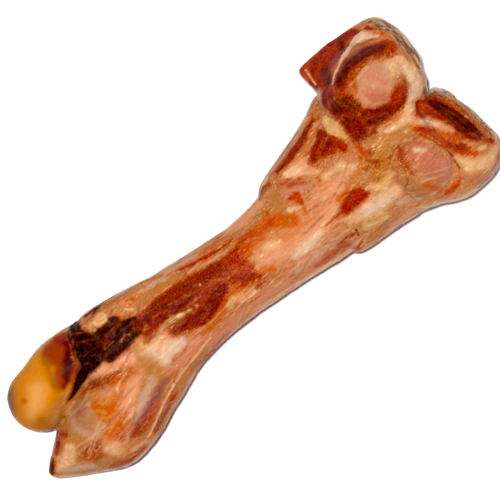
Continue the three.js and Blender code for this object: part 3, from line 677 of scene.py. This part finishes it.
def lay_sides(skin):
    """Streaks of lean, fat and fascia over the sides and the underside, which the touches leave bare."""
    side = 1 - smooth_step(0.15, 0.65, skin.normals[:, 2])
    streaks = fractal(skin.points, 14 * MM, 40, 4, (2.6, 1, 1))
    veins = fractal(skin.points, 8 * MM, 50, 3, (3.2, 1, 1))
    patches = fractal(skin.points, 20 * MM, 60, 3, (1.6, 1, 1))
    ends = smooth_step(0.34, 0.44, np.abs(skin.points[:, 0] - 0.5 * (LOW.x + HIGH.x)) / LENGTH)
    skin.lay("tan", side * smooth_step(-0.1, 0.3, patches))
    skin.lay("pink", side * smooth_step(0.05, 0.35, -patches))
    skin.lay("lean_red", side * (1 - 0.7 * ends) * smooth_step(0.04, 0.16, streaks), -0.2)
    skin.lay("lean_brown", side * (1 - 0.7 * ends) * smooth_step(0.14, 0.3, streaks), -0.1)
    skin.lay("fat_cream", side * smooth_step(0.08, 0.26, -streaks), 0.2)
    skin.lay("fat_white", side * smooth_step(0.24, 0.36, -streaks), 0.1)
    skin.lay("rust", side * 0.7 * smooth_step(0.2, 0.3, veins))
    skin.lay("ochre", side * 0.6 * smooth_step(0.22, 0.34, -veins))


STRANDS = ("fat_cream", "peach", "fat_cream", "rust", "plum", "fat_yellow", "orange_deep")
PALE_STRANDS = ("fat_cream", "peach", "fat_yellow")
STRAND_COUNT = 150
STRAND_SEED = 5


def lay_strands(skin):
    """Thin sinews and red threads that run along the bone and fan out at its ends."""
    draw = np.random.default_rng(STRAND_SEED)
    for number in range(STRAND_COUNT):
        x, y = draw.uniform(-100, 104), draw.uniform(-30, 26)
        turn = draw.normal(0, 0.16) + 0.011 * y * (abs(x) > 45) * math.copysign(1, x)
        bend = draw.normal(0, 0.02)
        length = draw.uniform(8, 22)
        radius = draw.uniform(0.05, 0.3)
        path = []
        for step in range(4):
            path.append((x, y, radius))
            x += length / 3 * math.cos(turn)
            y += length / 3 * math.sin(turn)
            turn += bend * length / 3
        tint = STRANDS[number % len(STRANDS)]
        share = 0.6 * (1 - skin.kinds["lean"]) * (1 - skin.kinds["smooth"])
        skin.touch(tint, 0.6, 0.2 if tint in PALE_STRANDS else -0.15, path, share)


def dried_points(skin, sizes):
    """The skin's points, swollen and wrinkled by drying, and kept inside the frame's box."""
    bare = 1 - 0.85 * skin.kinds["smooth"]
    swell = sizes.swell * fractal(skin.points, 11 * MM, 70, 3, (1.5, 1, 1)) * bare
    folds = 1 - 2.2 * np.abs(fractal(skin.points, 3.6 * MM, 80, 2, (1.8, 1, 1)))
    wrinkle = sizes.wrinkle * folds * bare * (0.5 + 0.5 * skin.kinds["lean"])
    shift = (skin.lift + swell + wrinkle)[:, None] * skin.normals
    return np.clip(skin.points + shift, np.array(LOW), np.array(HIGH))


CREASE_DEPTH = 0.16 * MM
CREASE_PASSES = 5  # how often the skin is evened out to find its creases
CREASE_SHADE = np.array([0.8, 1.15, 1.3])  # creases darken least in red and most in blue
RIDGE_COLOUR = np.array([0.9, 0.62, 0.42])  # linear


def shade_creases(skin, mesh, points):
    """Darkens the creases with painted shade, and pales the ridges of bare tissue towards a pale tan."""
    edges = np.empty(2 * len(mesh.edges), np.int32)
    mesh.edges.foreach_get("vertices", edges)
    edges = edges.reshape(-1, 2)
    count = len(points)
    ways = np.bincount(edges.ravel(), minlength=count)[:, None]
    middle = points.copy()
    for _ in range(CREASE_PASSES):
        total = np.zeros_like(middle)
        for axis in range(3):
            total[:, axis] = np.bincount(edges[:, 0], middle[edges[:, 1], axis], count)
            total[:, axis] += np.bincount(edges[:, 1], middle[edges[:, 0], axis], count)
        middle = 0.3 * middle + 0.7 * total / ways
    hollow = np.einsum("ij,ij->i", middle - points, skin.normals) / CREASE_DEPTH
    # Painted shade in the creases.
    skin.colour *= (1 - 0.45 * smooth_step(0.1, 1.2, hollow))[:, None] ** CREASE_SHADE
    ridge_pale = (0.3 * smooth_step(0.2, 1.4, -hollow))[:, None]
    bare = (1 - skin.kinds["lean"] - skin.kinds["crust"] - skin.kinds["smooth"]).clip(0, 1)[:, None]
    skin.colour += ridge_pale * (RIDGE_COLOUR - skin.colour) * bare


def write_attributes(mesh, skin):
    """Keeps the colour and the kinds of tissue on the mesh, for its material."""
    paint = mesh.attributes.new("paint", "FLOAT_COLOR", "POINT")
    rgba = np.ones((len(skin.points), 4), np.float32)
    rgba[:, :3] = skin.colour
    paint.data.foreach_set("color", rgba.ravel())
    for kind, amount in skin.kinds.items():
        mesh.attributes.new(kind, "FLOAT", "POINT").data.foreach_set("value", amount.astype(np.float32))


# Materials.


def add_node(tree, kind, inputs=None, **settings):
    """Adds a node, with its settings, and sets or links its inputs."""
    node = tree.nodes.new(kind)
    for name, value in settings.items():
        setattr(node, name, value)
    for name, value in (inputs or {}).items():
        if isinstance(value, bpy.types.NodeSocket):
            tree.links.new(value, node.inputs[name])
        else:
            node.inputs[name].default_value = value
    return node


# Noise patterns of the skin: coordinates, size in millimetres, detail, roughness and distortion. Meat fibres
# are about 0.05 mm thick, too fine to show, so grains and fibres are drawn as coarse as small bundles of them.
NOISES = {
    "blotches": ("plain", 5, 3, 0.55, 0.0),  # where oil has sunk in
    "patches": ("plain", 2.4, 2, 0.55, 0.0),
    "streaks": ("along", 2.2, 3, 0.6, 0.5),
    "grains": ("plain", 0.7, 2, 0.6, 0.0),
    "fibres": ("drawn", 0.62, 2, 0.6, 0.4),
}

# Thin curled lines along the middle value of a noise: coordinates, size in millimetres, width and distortion.
# Hairs of fat and sinew are about 0.1 mm thick, and are drawn two or three times as thick as that, to show.
LINES = {
    "strands": ("drawn", 1.9, 0.045, 0.5),
    "threads": ("drawn", 2.7, 0.04, 0.6),
    "curls": ("plain", 1.4, 0.045, 1.2),
    "hairs": ("plain", 0.95, 0.045, 1.8),
}

# How much of the patterns is left on a tissue. The first two make the share "soft", and all four "pale".
FADES = (("smooth", 0.08), ("sleek", 0.42), ("lean", 0.0), ("crust", 0.0))

# Layers of colour: the shares that they are cut to, pattern, the pattern's values that are read, what those
# become, how the layer mixes, and colour, or what the colour below is multiplied by.
LAYERS = (
    (("pale",), "fibres", (0.46, 0.3), (0, 0.34), "MIX", "#a8501c"),
    (("pale",), "fibres", (0.54, 0.7), (0, 0.36), "MIX", "#f2d0a4"),
    (("pale", "strands"), "patches", (0.4, 0.6), (0, 0.4), "MIX", "#f0cca4"),
    (("pale", "threads"), "patches", (0.45, 0.6), (0, 0.34), "MIX", "#9c4a24"),
    (("pale",), "grains", (0.56, 0.7), (0, 0.22), "MIX", "#eabb8a"),
    (("pale",), "grains", (0.44, 0.3), (0, 0.24), "MIX", "#9c4016"),
    (("lean",), "blotches", (0.5, 0.75), (0, 0.2), "MIX", "#a8380c"),
    (("lean", "soft"), "grains", (0.54, 0.36), (0, 0.62), "MIX", "#3c0603"),
    (("lean", "curls"), "patches", (0.42, 0.58), (0.2, 0.9), "MULTIPLY", (2.2, 2.8, 2.8, 1)),
    (("lean", "hairs"), "patches", (0.4, 0.6), (0.08, 0.58), "MIX", "#c98a50"),
    (("lean",), "grains", (0.62, 0.72), (0, 0.25), "MIX", "#b86a38"),
    (("crust",), "patches", (0.52, 0.68), (0, 0.5), "MIX", "#6a1c0c"),
    (("crust", "curls"), "patches", (0.45, 0.6), (0.1, 0.5), "MIX", "#9c6a4c"),
    (("fat",), "streaks", (0.5, 0.3), (0, 0.5), "MIX", "#f6dcc0"),
)

# Bumps, the broad ones first: height in millimetres, and what makes them up as (amount, pattern and its shares).
BUMPS = (
    (0.12, ((1, "streaks", "soft"), (1, "blotches", "soft"), (2.5, "patches", "crust"))),
    (0.04, ((0.8, "grains", "soft"), (0.7, "strands", "soft"), (0.7, "curls", "lean", "soft"))),
)

FACTOR, MIX_A, MIX_B, MIX_OUT = 0, 6, 7, 2  # sockets of a colour Mix node
LOW_IN, HIGH_IN, LOW_OUT, HIGH_OUT = 1, 2, 3, 4  # sockets of a Map Range node


def empty_material(name):
    """A material without nodes, and its tree."""
    material = bpy.data.materials.new(name)
    material.use_nodes = True
    material.node_tree.nodes.clear()
    return material, material.node_tree


def cured_skin_material():
    """Cured meat and fat: oily and slightly clear, so light sinks in and the film on top glints."""
    material, tree = empty_material("cured_meat_skin")
    places = {"plain": add_node(tree, "ShaderNodeTexCoord").outputs["Object"]}
    for name, stretch, turn in (("along", 0.36, 0.12), ("drawn", 0.16, -0.06)):
        inputs = {"Vector": places["plain"], "Scale": (stretch, 1, 1), "Rotation": (0, 0, turn)}
        places[name] = add_node(tree, "ShaderNodeMapping", inputs).outputs["Vector"]
    paint = add_node(tree, "ShaderNodeAttribute", attribute_name="paint").outputs["Color"]

    # What each name in the tables above stands for: tissues, noises, lines and shares.
    named = {}
    for kind in KINDS:
        named[kind] = add_node(tree, "ShaderNodeAttribute", attribute_name=kind).outputs["Fac"]
    for name, (place, size, detail, roughness, distortion) in NOISES.items():
        inputs = {"Vector": places[place], "Scale": 1 / (size * MM), "Detail": detail}
        inputs |= {"Roughness": roughness, "Distortion": distortion}
        named[name] = add_node(tree, "ShaderNodeTexNoise", inputs).outputs["Fac"]
    for name, (place, size, width, distortion) in LINES.items():
        inputs = {"Vector": places[place], "Scale": 1 / (size * MM), "Detail": 1.0}
        inputs |= {"Roughness": 0.5, "Distortion": distortion}
        level = add_node(tree, "ShaderNodeTexNoise", inputs).outputs["Fac"]
        off = add_node(tree, "ShaderNodeMath", {0: level, 1: 0.5}, operation="SUBTRACT").outputs[0]
        off = add_node(tree, "ShaderNodeMath", {0: off}, operation="ABSOLUTE").outputs[0]
        inputs = {"Value": off, LOW_IN: 0, HIGH_IN: width, LOW_OUT: 1, HIGH_OUT: 0}
        named[name] = add_node(tree, "ShaderNodeMapRange", inputs, interpolation_type="SMOOTHSTEP").outputs[0]
    share = 1.0
    for kind, least in FADES:
        inputs = {"Value": named[kind], LOW_IN: 0, HIGH_IN: 1, LOW_OUT: 1, HIGH_OUT: least}
        left = add_node(tree, "ShaderNodeMapRange", inputs, interpolation_type="SMOOTHSTEP").outputs[0]
        share = add_node(tree, "ShaderNodeMath", {0: left, 1: share}, operation="MULTIPLY").outputs[0]
        named["soft" if kind in ("smooth", "sleek") else "pale"] = share

    inputs = {FACTOR: 1.0, MIX_A: paint, MIX_B: opaque("#ffd9a8")}
    warmed = add_node(tree, "ShaderNodeMix", inputs, data_type="RGBA", blend_type="SOFT_LIGHT").outputs[MIX_OUT]
    colour = paint
    for shares, pattern, (low, high), (to_low, to_high), blend, tint in (
        (("soft",), "streaks", (0.5, 0.75), (0, 0.3), "MULTIPLY", "#c07a5c"),
        (("soft",), "patches", (0.52, 0.34), (0, 0.26), "MIX", warmed),
        *LAYERS,
    ):
        inputs = {"Value": named[pattern], LOW_IN: low, HIGH_IN: high, LOW_OUT: to_low, HIGH_OUT: to_high}
        share = add_node(tree, "ShaderNodeMapRange", inputs, interpolation_type="SMOOTHSTEP").outputs[0]
        for name in shares:
            inputs = {0: named[name], 1: share}
            share = add_node(tree, "ShaderNodeMath", inputs, operation="MULTIPLY").outputs[0]
        inputs = {FACTOR: share, MIX_A: colour, MIX_B: opaque(tint) if isinstance(tint, str) else tint}
        colour = add_node(tree, "ShaderNodeMix", inputs, data_type="RGBA", blend_type=blend).outputs[MIX_OUT]
    # Deepens the colour, and takes away the veil of blue that the table's light lays over it.
    colour = add_node(tree, "ShaderNodeGamma", {"Color": colour, "Gamma": 1.36}).outputs[0]
    inputs = {FACTOR: 1.0, MIX_A: colour, MIX_B: (0.0, 0.008, 0.012, 1)}
    colour = add_node(tree, "ShaderNodeMix", inputs, data_type="RGBA", blend_type="SUBTRACT").outputs[MIX_OUT]
    colour = add_node(tree, "ShaderNodeVectorMath", {0: colour, 1: (0, 0, 0)}, operation="MAXIMUM").outputs[0]

    # The oily film: glossier in blotches, and duller on lean and on the bare ball.
    inputs = {"Value": named["blotches"], LOW_IN: 0.35, HIGH_IN: 0.65, LOW_OUT: 0.15, HIGH_OUT: 0.28}
    rough = add_node(tree, "ShaderNodeMapRange", inputs, interpolation_type="SMOOTHSTEP").outputs[0]
    for kind in ("lean", "smooth"):
        inputs = {0: named[kind], 1: 0.06, 2: rough}
        rough = add_node(tree, "ShaderNodeMath", inputs, operation="MULTIPLY_ADD").outputs[0]

    below = {}  # the bumps that finer ones stand on
    for distance, parts in BUMPS:
        height = 0.0
        for part, *names in parts:
            for name in names:
                inputs = {0: part, 1: named[name]}
                part = add_node(tree, "ShaderNodeMath", inputs, operation="MULTIPLY").outputs[0]
            height = add_node(tree, "ShaderNodeMath", {0: part, 1: height}, operation="ADD").outputs[0]
        inputs = {"Strength": 1.0, "Distance": distance * MM, "Height": height, **below}
        below = {"Normal": add_node(tree, "ShaderNodeBump", inputs).outputs["Normal"]}

    shader = add_node(
        tree,
        "ShaderNodeBsdfPrincipled",
        {
            "Base Color": colour,
            "Roughness": rough,
            "IOR": 1.44,
            "Specular IOR Level": 0.035,
            "Specular Tint": (1.0, 0.76, 0.5, 1),
            "Subsurface Weight": 0.12,
            "Subsurface Radius": (1.0, 0.36, 0.18),
            "Subsurface Scale": 1.8 * MM,
            **below,
        },
        subsurface_method="RANDOM_WALK",
    )
    add_node(tree, "ShaderNodeOutputMaterial", {"Surface": shader.outputs["BSDF"]})
    return material


def membrane_material():
    """Dried membrane: a clear brownish film, drawn thin, that shines along its wrinkles."""
    material, tree = empty_material("dried_membrane")
    coords = add_node(tree, "ShaderNodeTexCoord").outputs["Object"]
    drawn = add_node(tree, "ShaderNodeMapping", {"Vector": coords, "Scale": (1, 0.22, 1)}).outputs["Vector"]
    inputs = {"Vector": drawn, "Scale": 1 / (1.4 * MM), "Detail": 3.0}
    drift = add_node(tree, "ShaderNodeTexNoise", inputs).outputs["Fac"]
    ramp = add_node(tree, "ShaderNodeValToRGB", {"Fac": drift})
    for stop, (position, tint) in zip(ramp.color_ramp.elements, ((0.4, "#6e4024"), (0.6, "#cfa880"))):
        stop.position = position
        stop.color = opaque(tint)
    inputs = {"Vector": drawn, "Scale": 1 / (1.8 * MM), "Detail": 1.0}
    creases = add_node(tree, "ShaderNodeTexNoise", inputs).outputs["Fac"]
    inputs = {"Strength": 1.0, "Distance": 0.2 * MM, "Height": creases}
    bump = add_node(tree, "ShaderNodeBump", inputs).outputs["Normal"]
    inputs = {"Base Color": ramp.outputs["Color"], "Roughness": 0.3, "Specular IOR Level": 0.4, "Alpha": 0.55}
    shader = add_node(tree, "ShaderNodeBsdfPrincipled", {**inputs, "Normal": bump})
    add_node(tree, "ShaderNodeOutputMaterial", {"Surface": shader.outputs["BSDF"]})
    return material


def table_material():
    """Plain matt white board."""
    material, tree = empty_material("white_board")
    inputs = {"Base Color": opaque("#fafafa"), "Roughness": 0.9, "Specular IOR Level": 0.1}
    shader = add_node(tree, "ShaderNodeBsdfPrincipled", inputs)
    add_node(tree, "ShaderNodeOutputMaterial", {"Surface": shader.outputs["BSDF"]})
    return material


# Operators.


class HAMBONE_OT_skin(bpy.types.Operator):
    """Make the whole bone with the tissue on it, as one closed skin"""

    bl_idname = "hambone.skin"
    bl_label = "Skin"

    def execute(self, context):
        sizes = context.scene.ham_bone_sizes
        piece = copy_of_node(NODE, SKIN)
        for middle, radii in LUMPS:
            add_lump(piece, middle, radii)
        apply_modifier(piece, "REMESH", mode="VOXEL", voxel_size=sizes.skin_cell)
        apply_modifier(piece, "SMOOTH", factor=0.5, iterations=sizes.blend_passes)
        tree = search_tree(piece.data)
        for path in MELTS:
            melt(piece, tree, path)
        coarsen_below(piece, sizes.skin_triangles)
        skin = Skin(piece.data, sizes, context.scene.ham_bone_tints)
        lay_sides(skin)
        for touches in (SHAFT_TOUCHES, FLARE_TOUCHES, HIP_TOUCHES, CRUST_TOUCHES, KNEE_TOUCHES):
            for tint, edge, lift, *path in touches:
                skin.touch(tint, edge, lift, path)
        lay_strands(skin)
        points = dried_points(skin, sizes)
        shade_creases(skin, piece.data, points)
        move_points(piece.data, points)
        write_attributes(piece.data, skin)
        piece.data.materials.append(cured_skin_material())
        pick_only(piece)
        bpy.ops.object.shade_smooth()
        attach(piece, "root")
        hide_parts(NODE)
        return {"FINISHED"}


FILM_THICKNESS = 0.28 * MM
FILM_MARGIN = 0.3 * MM  # that the films keep from the frame's box
FILM_FACES = (90, 6)  # along and across a film
FILM_STEPS, FILM_PASSES = 120, 60  # points along a film's root, and how often its bends are smoothed
FILM_SEED = 90

# Films: name, root as points (x, y), how far it reaches out, and how high it stands, all in millimetres.
FILMS = (
    ("membrane_inner", [(104, 40), (108.6, 35), (110.6, 28), (110.8, 20), (110, 13), (107, 8)], 2.6, 1.2),
    ("membrane_inner_fold", [(107, 36), (108.6, 30), (109, 23), (108.4, 15)], 2.2, 1.6),
    ("membrane_outer", [(103.6, -0.5), (107.6, -1.4), (110.6, -4.4), (112, -9)], 2.4, 1.2),
    ("membrane_flap", [(111.4, -9), (112.4, -15), (113, -21), (112.8, -27), (111.4, -31.6)], 1.7, 1.2),
)


class HAMBONE_OT_membranes(bpy.types.Operator):
    """Make the dried membranes that stand out from the edges of the knee end"""

    bl_idname = "hambone.membranes"
    bl_label = "Membranes"

    def execute(self, context):
        tree = search_tree(bpy.data.objects[SKIN].data)
        material = membrane_material()
        for number, (name, root, reach, rise) in enumerate(FILMS):
            self.film(name, root, reach, rise, tree, material, FILM_SEED + 3 * number)
        return {"FINISHED"}

    @staticmethod
    def film(name, root, reach, rise, tree, material, seed):
        """Hangs a grid along its root and draws its free edge out, ragged and wavy."""
        bpy.ops.object.select_all(action="DESELECT")
        bpy.ops.mesh.primitive_grid_add(x_subdivisions=FILM_FACES[0], y_subdivisions=FILM_FACES[1], size=2)
        piece = bpy.context.active_object
        piece.name = piece.data.name = name
        points, _ = points_of(piece.data)
        along = (points[:, 0] + 1) / 2 * (len(root) - 1)
        out = (points[:, 1] + 1) / 2
        knots = np.array([on_skin(tree, x, y) for x, y in root])
        steps = np.linspace(0, len(root) - 1, FILM_STEPS)
        line = np.stack([np.interp(steps, range(len(root)), knots[:, axis]) for axis in range(3)], axis=1)
        for _ in range(FILM_PASSES):
            line[1:-1] = (line[:-2] + 2 * line[1:-1] + line[2:]) / 4
        way = np.gradient(line, axis=0)
        feet = np.stack([np.interp(along, steps, line[:, axis]) for axis in range(3)], axis=1)
        way = np.stack([np.interp(along, steps, way[:, axis]) for axis in range(3)], axis=1)
        side = np.stack([-way[:, 1], way[:, 0], np.zeros(len(way))], axis=1)
        side /= np.linalg.norm(side, axis=1)[:, None]
        ends = np.sin(np.pi * np.clip(along / (len(root) - 1), 0.02, 0.98)) ** 0.5
        rag = 1 + 0.5 * fractal(feet, 9 * MM, seed, 3)
        wave = noise(feet, 10 * MM, seed + 1)
        placed = feet + side * (reach * UNIT * (out - 0.15) * ends * rag)[:, None]
        arch = rise * np.sin(np.pi * out) + 0.5 * np.sin(3 * np.pi * out)
        droop = 0.8 * (out < 0.1) + 1.6 * out**2
        placed[:, 2] += UNIT * (arch + wave * out - droop)
        placed = np.clip(placed, np.array(LOW) + FILM_MARGIN, np.array(HIGH) - FILM_MARGIN)
        move_points(piece.data, placed)
        apply_modifier(piece, "SOLIDIFY", thickness=FILM_THICKNESS, offset=0)
        pick_only(piece)
        bpy.ops.object.mode_set(mode="EDIT")
        bpy.ops.mesh.select_all(action="SELECT")
        bpy.ops.mesh.normals_make_consistent(inside=False)
        bpy.ops.object.mode_set(mode="OBJECT")
        bpy.ops.object.shade_smooth()
        piece.data.materials.append(material)
        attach(piece, "root")


# Lights: name, watts, size and place in metres. A small flash makes the glints, and a broad light fills in.
LIGHTS = (("flash", 62.5, 0.09, (-0.02, 0.13, 2.3)), ("fill", 1.5, 1.4, (0.7, -0.9, 1.1)))
ROOM_LIGHT = 0.1
TABLE_SIZE = 6
SENSOR_WIDTH = 36
VIEW_MIDDLE = (8.0, 1.2)  # x and y under the camera, in millimetres


class HAMBONE_OT_stage(bpy.types.Operator):
    """Make the table, the lights and the camera"""

    bl_idname = "hambone.stage"
    bl_label = "Stage"

    def execute(self, context):
        sizes = context.scene.ham_bone_sizes
        bpy.ops.object.select_all(action="DESELECT")
        bpy.ops.mesh.primitive_plane_add(size=TABLE_SIZE, location=(0, 0, 0))
        table = context.active_object
        table.name = "table"
        table.data.materials.append(table_material())
        for light in LIGHTS:
            self.light(*light)
        world = bpy.data.worlds.new("room")
        world.use_nodes = True
        background = world.node_tree.nodes["Background"]
        background.inputs["Color"].default_value = (1, 1, 1, 1)
        background.inputs["Strength"].default_value = ROOM_LIGHT
        context.scene.world = world
        context.scene.view_settings.view_transform = "Standard"
        middle = 0.5 * (HIGH.z + LOW.z)
        data = bpy.data.cameras.new("camera")
        data.sensor_width = SENSOR_WIDTH
        data.lens = data.sensor_width * (sizes.camera_height - middle) / sizes.view_width
        camera = bpy.data.objects.new("camera", data)
        camera.location = (*(v * UNIT for v in VIEW_MIDDLE), sizes.camera_height)
        camera.rotation_euler = (0, 0, sizes.view_turn)
        context.scene.collection.objects.link(camera)
        context.scene.camera = camera
        return {"FINISHED"}

    @staticmethod
    def light(name, power, size, place):
        """Adds a square light that faces the middle of the table."""
        data = bpy.data.lights.new(name, "AREA")
        data.energy = power
        data.size = size
        lamp = bpy.data.objects.new(name, data)
        lamp.location = place
        lamp.rotation_euler = Vector(place).to_track_quat("Z", "Y").to_euler()
        bpy.context.scene.collection.objects.link(lamp)


class HAMBONE_PT_panel(bpy.types.Panel):
    """Lists the pieces and their settings"""

    bl_idname = "HAMBONE_PT_panel"
    bl_label = "Ham bone"
    bl_space_type = "VIEW_3D"
    bl_region_type = "UI"
    bl_category = "Ham bone"

    def draw(self, context):
        for operator in OPERATORS:
            self.layout.operator(operator.bl_idname)
        for group in (context.scene.ham_bone_sizes, context.scene.ham_bone_tints):
            for name in group.__annotations__:
                self.layout.prop(group, name)


OPERATORS = (HAMBONE_OT_skin, HAMBONE_OT_membranes, HAMBONE_OT_stage)
CLASSES = (HamBoneSizes, HamBoneTints, *OPERATORS, HAMBONE_PT_panel)


def register():
    for item in CLASSES:
        bpy.utils.register_class(item)
    bpy.types.Scene.ham_bone_sizes = PointerProperty(type=HamBoneSizes)
    bpy.types.Scene.ham_bone_tints = PointerProperty(type=HamBoneTints)


def unregister():
    del bpy.types.Scene.ham_bone_tints
    del bpy.types.Scene.ham_bone_sizes
    for item in reversed(CLASSES):
        bpy.utils.unregister_class(item)


def main():
    register()
    bpy.ops.hambone.skin()
    bpy.ops.hambone.membranes()
    bpy.ops.hambone.stage()


if __name__ == "__main__":
    main()
